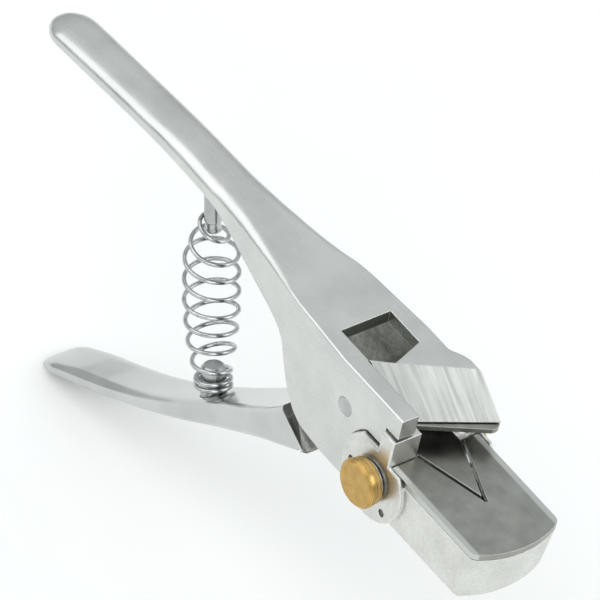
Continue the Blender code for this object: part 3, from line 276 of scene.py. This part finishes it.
# Painted shade: darker towards the plate's rear end by the throat, in random patches.
shade_front, shade_full = -0.012, plate_low.x + 0.004
back = add(tree, "MapRange",
           {"From Min": shade_front, "From Max": shade_full, "interpolation_type": "SMOOTHSTEP"},
           {"Value": axes.outputs["X"]}).outputs["Result"]
patchy = add(tree, "TexNoise", {"Scale": per_mm(11), "Detail": 3.0}, {"Vector": place}).outputs["Fac"]
patches = add(tree, "MapRange", {"From Min": 0.3, "From Max": 0.7, "To Min": 0.45, "To Max": 1.0},
              {"Value": patchy})
amount = add(tree, "Math", {"operation": "MULTIPLY"}, {0: back, 1: patches.outputs["Result"]}).outputs[0]
shade_painted_steel = add(tree, "Mix", {"data_type": "RGBA", 7: colour("#5E5C56")}, {0: amount, 6: steel}).outputs[2]
# A paler band along each side of the plate.
across = add(tree, "Math", {"operation": "ABSOLUTE"}, {0: axes.outputs["Y"]}).outputs[0]
rim_inside, rim_fade = plate_high.y - 0.0016, 0.0006
rim = add(tree, "MapRange", {"From Min": rim_inside - rim_fade, "From Max": rim_inside},
          {"Value": across}).outputs["Result"]
banded = add(tree, "Mix", {"data_type": "RGBA", 7: colour("#C4C6C1")}, {0: rim, 6: shade_painted_steel}).outputs[2]
tree.links.new(banded, shader.inputs["Base Color"])
plate_size = (plate_high - plate_low) * 1000
print(f"plate {plate_size.x:.1f} mm long, {plate_size.y:.1f} mm wide")

# %% [markdown]
# ## Spring wire
#
# The spring is hard-drawn steel wire, plated bright. The die it was pulled through leaves it almost a mirror,
# so each turn shows a thin white light and a dark edge. The finish is smooth, with faint cloudy plating and a
# slight roughness that changes along the wire.

# %% Bright spring wire
spring_wire, tree, place = new_finish("bright_drawn_spring_wire")
plating = add(tree, "TexNoise", {"Scale": per_mm(2.5), "Detail": 3.0}, {"Vector": place}).outputs["Fac"]
tone = add(tree, "MapRange", {"From Min": 0.35, "From Max": 0.65}, {"Value": plating}).outputs["Result"]
base = add(tree, "Mix", {"data_type": "RGBA", 6: colour("#A9ABAC"), 7: colour("#C8CACA")},
           {0: tone}).outputs[2]
rough = add(tree, "MapRange", {"To Min": 0.10, "To Max": 0.20}, {"Value": tone}).outputs["Result"]
drawn = add(tree, "Bump", {"Strength": 0.08, "Distance": 0.0001}, {"Height": plating})
shader = add(tree, "BsdfPrincipled", {"Metallic": 1.0},
             {"Base Color": base, "Roughness": rough, "Normal": drawn.outputs[0]})
add(tree, "OutputMaterial", {}, {"Surface": shader.outputs[0]})
print("made", spring_wire.name)

# %% [markdown]
# ## Turned brass and bearing bronze
#
# The thumb screws are free-cutting brass turned on a lathe. The tool leaves rings about 0.1 mm apart around
# the screw's axis. They are drawn 0.4 mm apart so that they show. Handling has dulled the brass to a warm
# brown-gold, with darker patches where fingers don't reach. Both screws lie on one line, so a single Mapping
# node centres the rings on both.
#
# The bushing is oiled bronze: redder, duller and without rings.

# %% Brass and bronze
thumb_low, thumb_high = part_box("thumb_screw_near")
thumb_centre = (thumb_low + thumb_high) / 2


def lathe_turned(name, dark, light, ring_mm, rough_low, rough_high):
    """Turned metal, with rings about the thumb screws' axis. At a scale of 1 they are pi/10 metres apart."""
    material, tree, place = new_finish(name)
    middle = add(tree, "Mapping", {"Location": (-thumb_centre.x, 0, -thumb_centre.z)},
                 {"Vector": place}).outputs[0]
    ring_look = {"wave_type": "RINGS", "rings_direction": "Y", "Distortion": 0.6, "Detail": 2.0}
    rings = add(tree, "TexWave", {**ring_look, "Scale": per_mm(ring_mm) * pi / 10},
                {"Vector": middle}).outputs["Fac"]
    patches = add(tree, "TexNoise", {"Scale": per_mm(3), "Detail": 4.0}, {"Vector": place}).outputs["Fac"]
    mixed = add(tree, "Mix", {0: 0.3}, {2: patches, 3: rings}).outputs[0]
    tone = add(tree, "MapRange", {"From Min": 0.25, "From Max": 0.7}, {"Value": mixed}).outputs["Result"]
    rounded, edge = soft_edges(tree, 0.3)
    base = add(tree, "Mix", {"data_type": "RGBA", 6: colour(dark), 7: colour(light)}, {0: tone}).outputs[2]
    rubbed = add(tree, "Mix", {"data_type": "RGBA", 7: colour("#E8CE97")}, {0: edge, 6: base}).outputs[2]
    rough = add(tree, "MapRange", {"To Min": rough_high, "To Max": rough_low},
                {"Value": tone}).outputs["Result"]
    cut = add(tree, "Bump", {"Strength": 0.25, "Distance": 0.0001}, {"Height": rings, "Normal": rounded})
    shader = add(tree, "BsdfPrincipled", {"Metallic": 1.0},
                 {"Base Color": rubbed, "Roughness": rough, "Normal": cut.outputs[0]})
    add(tree, "OutputMaterial", {}, {"Surface": shader.outputs[0]})
    return material


turned_brass = lathe_turned("turned_brass", "#A9874B", "#CDA966", 0.4, 0.24, 0.38)
bearing_bronze = lathe_turned("bearing_bronze", "#8A6238", "#A97C4C", 0.5, 0.34, 0.46)
print("made", turned_brass.name, bearing_bronze.name)

# %% [markdown]
# ## Clean copies of the CAD solids
#
# A CAD node comes in as loose triangles, so every face shades flat. Merging the doubled corners joins the
# faces, and dissolving the edges between faces that lie in one plane leaves whole flat faces. Then faces that
# meet at a shallow angle are shaded smooth, and the real edges stay sharp. Weighted Normal lets the large
# flat faces keep their own direction, so small rounded edges don't tint them.
#
# The CAD mesh itself is never changed. The copy rides on the same body and stands for the node.

# %% A helper that cleans and finishes one solid
def cleaned(bm, flat=radians(0.3)):
    """Joins loose triangles into whole faces."""
    bmesh.ops.remove_doubles(bm, verts=bm.verts, dist=2e-6)
    bmesh.ops.dissolve_limit(bm, angle_limit=flat, verts=bm.verts, edges=bm.edges,
                             use_dissolve_boundaries=False)


def show(name, bm, material, body, node, sharp=radians(32)):
    """Makes the bmesh an object that stands for a CAD node."""
    mesh = bpy.data.meshes.new(name)
    bm.to_mesh(mesh)
    bm.free()
    mesh.materials.append(material)
    mesh.shade_smooth()
    mesh.set_sharp_from_angle(angle=sharp)
    piece = bpy.data.objects.new(name, mesh)
    bpy.context.scene.collection.objects.link(piece)
    weighted = piece.modifiers.new("keep flat faces flat", "WEIGHTED_NORMAL")
    weighted.keep_sharp = True
    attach(piece, body)
    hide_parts(node)
    return piece


def finished(node, material, body="frame"):
    bm = bmesh.new()
    bm.from_mesh(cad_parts[node].data)
    cleaned(bm)
    return show(node + "_finished", bm, material, body, node)


casting = finished("frame", polished_aluminium)
lower_handle = finished("lever", bright_aluminium, "lever")
jaw = finished("lower_jaw", satin_aluminium)
for piece in (casting, lower_handle, jaw):
    print(piece.name, len(piece.data.polygons), "faces")

# %% [markdown]
# ## Where the wheel can't reach
#
# A buffing wheel polishes only what it can touch. The channel between the cheeks, the window's walls and the
# lower handle's tongue, which works inside the channel, keep the mould's skin, made dark enough to be painted
# shade as well. The jaw's hollow takes the same dark skin as painted shade. A second material slot and a test
# on each face's place and direction give them theirs.

# %% Leave the mould's skin inside, dark as painted shade
channel_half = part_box("thrust_washer_far")[1].y + 0.0004  # the washer's play
channel_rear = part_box("frame")[1].x - 0.0748  # the casting's front to the end of its channel
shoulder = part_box("pivot_bush")[0].x - 0.0165  # the bush to the lower handle's shoulder
jaw_low, jaw_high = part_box("lower_jaw")
jaw_wall, wall_margin = 0.003, 0.001
ear_length, bow_depth, hollow_top = 0.020, 0.010, -0.0022


def jaw_inside(at, up):
    """True in the jaw's hollow: inside its walls, below the plate, and not on the bowed front's outer face."""
    outer_front = up.x > 0.5 and at.x > jaw_high.x - bow_depth
    within = (abs(at.y) < jaw_high.y - jaw_wall - wall_margin
              and jaw_low.x + ear_length < at.x < jaw_high.x - jaw_wall + wall_margin / 2)
    return within and at.z < hollow_top and up.z < 0.5 and not outer_front


def refinish(piece, material, chosen):
    """Gives another material, a finish or dark skin as painted shade, to the faces whose place and direction
    pass the test.
    """
    piece.data.materials.append(material)
    found = [face for face in piece.data.polygons if chosen(face.center, face.normal)]
    for face in found:
        face.material_index = len(piece.data.materials) - 1
    return len(found)


in_channel = refinish(casting, cast_skin_and_shade,
                      lambda at, up: abs(at.y) < channel_half and at.x > channel_rear and up.z < 0.3)
on_tongue = refinish(lower_handle, cast_skin_and_shade, lambda at, up: abs(at.y) < channel_half and at.x > shoulder)
in_box = refinish(jaw, cast_skin_and_shade, jaw_inside)
on_bevel = refinish(casting, belted_aluminium, lambda at, up: up.x > 0.3 and up.z > 0.3 and at.x > shoulder)
print(f"cast skin and painted shade on {in_channel} + {on_tongue} + {in_box} faces, belt finish on {on_bevel}")

# %% [markdown]
# ## Steel pieces
#
# The plates, the knife, the posts and the small pins keep the shapes that the CAD gives them, because each
# is a ground blank or a length of rod. Only their meshes are cleaned.

# %% Plates, knife, screws and pins
steel_pieces = {
    "anvil_plate": (anvil_steel, "ground_tool_steel", "frame"),
    "presser_plate": (presser_steel, "presser_steel", "frame"),
    "knife": (knife_steel, "knife_steel", "lever"),
    "pivot_pin": (pin_steel, "pin_steel", "frame"),
    "head_post": (pin_steel, "pin_steel", "frame"),
    "foot_post": (pin_steel, "pin_steel", "lever"),
    "knife_screw_near": (pin_steel, "pin_steel", "lever"),
    "knife_screw_far": (pin_steel, "pin_steel", "lever"),
    "presser_screw_1": (pin_steel, "pin_steel", "frame"),
    "presser_screw_2": (pin_steel, "pin_steel", "frame"),
    "pivot_bush": (bearing_bronze, "bearing_bronze", "lever"),
    "thrust_washer_near": (bearing_bronze, "bearing_bronze", "lever"),
    "thrust_washer_far": (bearing_bronze, "bearing_bronze", "lever"),
}
for i in range(1, 5):
    steel_pieces[f"anvil_screw_{i}"] = (pin_steel, "pin_steel", "frame")
for node, (material, slot, body) in steel_pieces.items():
    finished(node, material, body)
print(len(steel_pieces), "small pieces finished")

# %% Darken the slits in the anvil plate with painted shade
anvil_plate = bpy.data.objects["anvil_plate_finished"]
slit_front, slit_side = plate_high.x - 0.012, plate_high.y - 0.003
# Painted shade: the slits' walls take the dark skin material, though the plate is ground steel throughout.
in_slits = refinish(anvil_plate, cast_skin_and_shade,
                    lambda at, up: abs(up.z) < 0.3 and at.x < slit_front and abs(at.y) < slit_side)
print(in_slits, "faces line the slits")

# %% [markdown]
# ## Thumb screws
#
# Each thumb screw is turned from brass bar: a thick round head, a groove that parts it from a thin flange,
# and a plain shank. A lathe makes a shape by turning a profile about an axis, and bmesh's spin does just
# that. The profile is half of the section, from the middle of the face to the end of the shank. The corners
# are then bevelled, because a lathe hand breaks every sharp edge.

# %% Turn the brass thumb screws
def lathe(profile, start, towards, steps=96, corner=0.0, segments=2):
    """Spins (radius, height) points about the line from start, and bevels sharp corners by corner metres."""
    bm = bmesh.new()
    points = [bm.verts.new((radius, 0, height)) for radius, height in profile]
    edges = [bm.edges.new(pair) for pair in zip(points, points[1:])]
    bmesh.ops.spin(bm, geom=points + edges, cent=(0, 0, 0), axis=(0, 0, 1), dvec=(0, 0, 0), angle=tau,
                   steps=steps, use_merge=True)
    bmesh.ops.remove_doubles(bm, verts=bm.verts, dist=1e-6)
    bmesh.ops.recalc_face_normals(bm, faces=bm.faces)
    if corner:
        rings = [e for e in bm.edges if len(e.link_faces) == 2 and e.calc_face_angle() > radians(40)]
        bmesh.ops.bevel(bm, geom=rings, offset=corner, offset_type="OFFSET", segments=segments, profile=0.5,
                        affect="EDGES", clamp_overlap=True, material=-1)
    turn = Vector((0, 0, 1)).rotation_difference(Vector(towards)).to_matrix().to_4x4()
    bmesh.ops.transform(bm, matrix=Matrix.Translation(start) @ turn, verts=bm.verts)
    return bm


shank, seat_gap = 0.0025, 0.0003
rim_slope, tip_slope, dish = 0.0009, 0.0004, 0.00015


def thumb_screw(word, side):
    low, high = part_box(f"thumb_screw_{word}")
    washer_low, washer_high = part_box(f"washer_{word}")
    radius = (high.z - low.z) / 2
    seat = (washer_low.y if side < 0 else washer_high.y) + side * seat_gap
    outer = low.y if side < 0 else high.y
    inner = high.y if side < 0 else low.y
    head, reach = abs(outer - seat), -abs(inner - seat)
    groove, flange = radius - 0.0007, radius - 0.0003
    groove_top, groove_foot = head * 0.48, head * 0.24
    profile = [(0, head - dish), (radius * 0.55, head), (radius - rim_slope, head), (radius, head - rim_slope),
               (radius, groove_top), (groove, groove_top), (groove, groove_foot), (flange, groove_foot),
               (flange, 0), (shank, 0), (shank, reach + tip_slope), (shank - tip_slope, reach), (0, reach)]
    start = Vector((thumb_centre.x, seat, thumb_centre.z))
    bm = lathe(profile, start, (0, side, 0), corner=0.00012)
    node = f"thumb_screw_{word}"
    return show(node + "_turned", bm, turned_brass, f"thumb_{word}", node)


for word, side in (("near", -1), ("far", 1)):
    screw = thumb_screw(word, side)
    print(screw.name, len(screw.data.polygons), "faces")

# %% [markdown]
# ## Washers and roll pins
#
# A washer is stamped from strip, so one rim is slightly rounded. A roll pin is spring steel rolled into a
# tube that never quite closes: it is pressed into a tight hole, and the slit lets it give. Both are spun from
# a small section, the pin only part of the way round, which leaves the slit.

# %% Washers under the thumb screws
def ring_piece(node, bore, slit=0.0, corner=0.0001, material=pin_steel, steps=64):
    """A washer or tube in the place of a CAD node whose axis is Y. slit is the open angle."""
    low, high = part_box(node)
    radius, centre = (high.z - low.z) / 2, (low + high) / 2
    bm = bmesh.new()
    corners = (bore, low.y), (radius, low.y), (radius, high.y), (bore, high.y)
    section = [bm.verts.new((x, y, 0)) for x, y in corners]
    face = bm.faces.new(section)
    bmesh.ops.rotate(bm, verts=section, cent=(0, 0, 0), matrix=Matrix.Rotation(slit / 2, 3, "Y"))
    if slit:
        bmesh.ops.spin(bm, geom=section + face.edges[:] + [face], cent=(0, 0, 0), axis=(0, 1, 0),
                       dvec=(0, 0, 0), angle=tau - slit, steps=steps, use_merge=False)
    else:
        edges = face.edges[:]
        bm.faces.remove(face)
        bmesh.ops.spin(bm, geom=section + edges, cent=(0, 0, 0), axis=(0, 1, 0), dvec=(0, 0, 0), angle=tau,
                       steps=steps, use_merge=True)
    bmesh.ops.remove_doubles(bm, verts=bm.verts, dist=1e-7)
    bmesh.ops.recalc_face_normals(bm, faces=bm.faces)
    rims = [e for e in bm.edges if len(e.link_faces) == 2 and e.calc_face_angle() > radians(60)]
    bmesh.ops.bevel(bm, geom=rims, offset=corner, offset_type="OFFSET", segments=2, profile=0.5,
                    affect="EDGES", clamp_overlap=True, material=-1)
    bmesh.ops.translate(bm, verts=bm.verts, vec=(centre.x, 0, centre.z))
    return show(node + "_rolled", bm, material, "frame", node)


for word in ("near", "far"):
    washer = ring_piece(f"washer_{word}", 0.00265)
    print(washer.name, len(washer.data.polygons), "faces")

# %% Roll pins beside the thumb screws
for word in ("near", "far"):
    for i in (1, 2):
        pin = ring_piece(f"roll_pin_{word}_{i}", 0.0006, slit=radians(35), steps=40)
        print(pin.name, len(pin.data.polygons), "faces")

# %% [markdown]
# ## The spring
#
# A barrel spring is wound on a mandrel that swells in the middle: its end turns grip two posts, and its
# middle turns are wide and far apart. No operator winds a coil whose width changes, so a curve is the natural
# tool. Its points follow the mandrel's widths turn by turn, and its round bevel gives the wire. Closing caps
# and merging doubles then make one closed tube. The handles stand apart at an angle, which bends the spring a
# little: its turns lean back at the foot and forward at the head, and its middle bows to the rear.
#
# When the handles close, the lower end moves with the lower handle.

# %% Wind the barrel spring
wire = 0.0014
coil_low, coil_high = Vector((-0.13347, 0, -0.05793)), Vector((-0.14957, 0, -0.00414))
turns, steps, start_angle = 10, 40, radians(121)
heights = ((0, 0), (1, 0.034), (2, 0.070), (3, 0.193), (4, 0.315), (6, 0.555), (8, 0.796), (9, 0.9), (10, 1))
foot_radius, middle_radius, head_radius, bow = 0.0053, 0.0082, 0.0041, 0.0009
widths = ((0, foot_radius), (0.07, foot_radius), (0.19, 0.79 * middle_radius), (0.32, 0.91 * middle_radius),
          (0.55, middle_radius), (0.80, middle_radius), (0.90, 0.72 * middle_radius), (0.97, head_radius),
          (1, head_radius))
leans = ((0, radians(-8)), (0.2, radians(-8)), (0.5, 0), (0.8, radians(12.5)), (1, radians(25)))


def eased(keys, at):
    """The value at this place along (place, value) keys, by cubic pieces that never overshoot."""
    at = min(max(at, keys[0][0]), keys[-1][0])
    i = max(k for k in range(len(keys) - 1) if keys[k][0] <= at)
    rises = [(b[1] - a[1]) / (b[0] - a[0]) for a, b in zip(keys, keys[1:])]
    slopes = [0, *[2 * a * b / (a + b) if a * b > 0 else 0 for a, b in zip(rises, rises[1:])], 0]
    width = keys[i + 1][0] - keys[i][0]
    t = (at - keys[i][0]) / width
    step = (keys[i + 1][1] - keys[i][1]) * t * t * (3 - 2 * t)
    return keys[i][1] + step + width * t * (1 - t) * (slopes[i] * (1 - t) - slopes[i + 1] * t)


coil_axis = (coil_high - coil_low).normalized()
aside = Vector((0, -1, 0))
ahead = aside.cross(coil_axis)
path = []
for i in range(turns * steps + 1):
    share = eased(heights, i / steps)
    radius, lean, angle = eased(widths, share), eased(leans, share), start_angle + tau * i / steps
    leaning = ahead * cos(lean) + coil_axis * sin(lean)
    centre = coil_low.lerp(coil_high, share) + ahead * bow * 4 * share * (1 - share)
    path.append(centre + radius * (aside * cos(angle) + leaning * sin(angle)))
coil = bpy.data.curves.new("barrel_spring", "CURVE")
coil.dimensions, coil.bevel_depth, coil.bevel_resolution, coil.use_fill_caps = "3D", wire / 2, 4, True
strand = coil.splines.new("POLY")
strand.points.add(len(path) - 1)
for point, co in zip(strand.points, path):
    point.co = (*co, 1)
wound = bpy.data.objects.new("barrel_spring_curve", coil)
bm = bmesh.new()
bm.from_mesh(wound.to_mesh())
wound.to_mesh_clear()
bpy.data.objects.remove(wound)
bmesh.ops.remove_doubles(bm, verts=bm.verts, dist=2e-6)
bmesh.ops.recalc_face_normals(bm, faces=bm.faces)
mesh = bpy.data.meshes.new("barrel_spring")
bm.to_mesh(mesh)
open_edges = sum(len(e.link_faces) != 2 for e in bm.edges)
bm.free()
mesh.materials.append(spring_wire)
mesh.shade_smooth()
mesh.set_sharp_from_angle(angle=radians(50))
spring = bpy.data.objects.new("barrel_spring", mesh)
bpy.context.scene.collection.objects.link(spring)
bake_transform(spring)
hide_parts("spring")
length = sum((b - a).length for a, b in zip(path, path[1:]))
print(f"{length * 1000:.0f} mm of wire in {turns} turns, {open_edges} open edges")

# %% [markdown]
# ## Floor and light
#
# Polished metal has almost no colour of its own: it shows what surrounds it. So the light matters more than
# the metal's settings. A pale floor gives the lower faces something bright to reflect, a cool pale sky fills
# the rest, and wide area lights act as soft boxes. A sky that darkens towards the horizon gives the rounded
# edges their darker bands.

# %% The pale floor
low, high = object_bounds()
floor_half, floor_gap = 6.0, 0.0005
bm = bmesh.new()
bmesh.ops.create_grid(bm, x_segments=1, y_segments=1, size=floor_half)
bmesh.ops.translate(bm, verts=bm.verts, vec=(0, 0, low.z - floor_gap))
mesh = bpy.data.meshes.new("floor")
bm.to_mesh(mesh)
bm.free()
floor = bpy.data.objects.new("floor", mesh)
bpy.context.scene.collection.objects.link(floor)
paper, tree, place = new_finish("matt_white_paper")
fibres = add(tree, "TexNoise", {"Scale": per_mm(30), "Detail": 2.0}, {"Vector": place}).outputs["Fac"]
white = add(tree, "Mix", {"data_type": "RGBA", 6: colour("#F8F8F6"), 7: colour("#FBFBFA")},
            {0: fibres}).outputs[2]
shader = add(tree, "BsdfPrincipled", {"Roughness": 0.9}, {"Base Color": white})
add(tree, "OutputMaterial", {}, {"Surface": shader.outputs[0]})
mesh.materials.append(paper)
floor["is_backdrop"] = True
print(f"floor at z = {(low.z - floor_gap) * 1000:.1f} mm")

# %% Sky and soft boxes
world = bpy.data.worlds.new("studio")
bpy.context.scene.world = world
world.use_nodes = True
tree = world.node_tree
tree.nodes.clear()
up = add(tree, "SeparateXYZ", {}, {0: add(tree, "TexCoord").outputs["Generated"]}).outputs["Z"]
rise = add(tree, "MapRange", {"From Min": 0.0, "From Max": 0.8}, {"Value": up}).outputs["Result"]
sky = add(tree, "Mix", {"data_type": "RGBA", 6: colour("#BFC3C3"), 7: colour("#F2F6F8")},
          {0: rise}).outputs[2]
glow = add(tree, "Background", {"Strength": 0.94}, {"Color": sky})
add(tree, "OutputWorld", {}, {"Surface": glow.outputs[0]})


def soft_box(name, place, aim, watts, width, height):
    lamp = bpy.data.lights.new(name, "AREA")
    lamp.shape, lamp.size, lamp.size_y, lamp.energy = "RECTANGLE", width, height, watts
    box = bpy.data.objects.new(name, lamp)
    bpy.context.scene.collection.objects.link(box)
    box.location = place
    box.rotation_euler = (Vector(aim) - Vector(place)).to_track_quat("-Z", "Y").to_euler()
    return box


middle = (cad_box[0] + cad_box[1]) / 2
key = soft_box("key", middle + Vector((-0.6, -1.0, 1.3)), middle, 10, 1.9, 1.9)
fill = soft_box("fill", middle + Vector((1.3, -0.9, 1.0)), middle, 6, 1.0, 1.0)
rim = soft_box("rim", middle + Vector((1.1, 1.0, 0.9)), middle, 5, 1.0, 1.0)
print("lights:", ", ".join(f"{lamp.name} {lamp.data.energy:.0f} W" for lamp in (key, fill, rim)))

# %% [markdown]
# ## Camera
#
# The tool is seen from its front near corner and from above, with the handles running away to the upper left.
# A very long lens from far off keeps parallel edges parallel, as in catalogue pictures.

# %% Place the camera
aim = Vector((-0.1076, 0, 0.0015))
distance, seen_width = 6.0, 0.1765
azimuth, elevation, roll = radians(43.72), radians(43.24), radians(13.97)
turn = (Matrix.Rotation(azimuth, 4, "Z") @ Matrix.Rotation(pi / 2 - elevation, 4, "X")
        @ Matrix.Rotation(roll, 4, "Z"))
lens = bpy.data.cameras.new("catalogue")
lens.sensor_width = 36
lens.lens = lens.sensor_width * distance / seen_width
lens.clip_end = 100
camera = bpy.data.objects.new("camera", lens)
bpy.context.scene.collection.objects.link(camera)
camera.matrix_world = Matrix.Translation(aim + turn.to_3x3() @ Vector((0, 0, distance))) @ turn
bpy.context.scene.camera = camera
bpy.context.scene.view_settings.view_transform = "Standard"
print(f"{lens.lens:.0f} mm lens at {distance:.0f} m")

# %% [markdown]
# ## Sizes, then the last checks
#
# The finished pieces should stay inside the CAD model's box, so the two boxes are compared.

# %% Compare the sizes and finish
seen_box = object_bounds()
grown = max(max(cad_box[0][i] - seen_box[0][i], seen_box[1][i] - cad_box[1][i]) for i in range(3))
print(f"the visual model stands proud of the CAD box by {grown * 1000:.2f} mm at most")
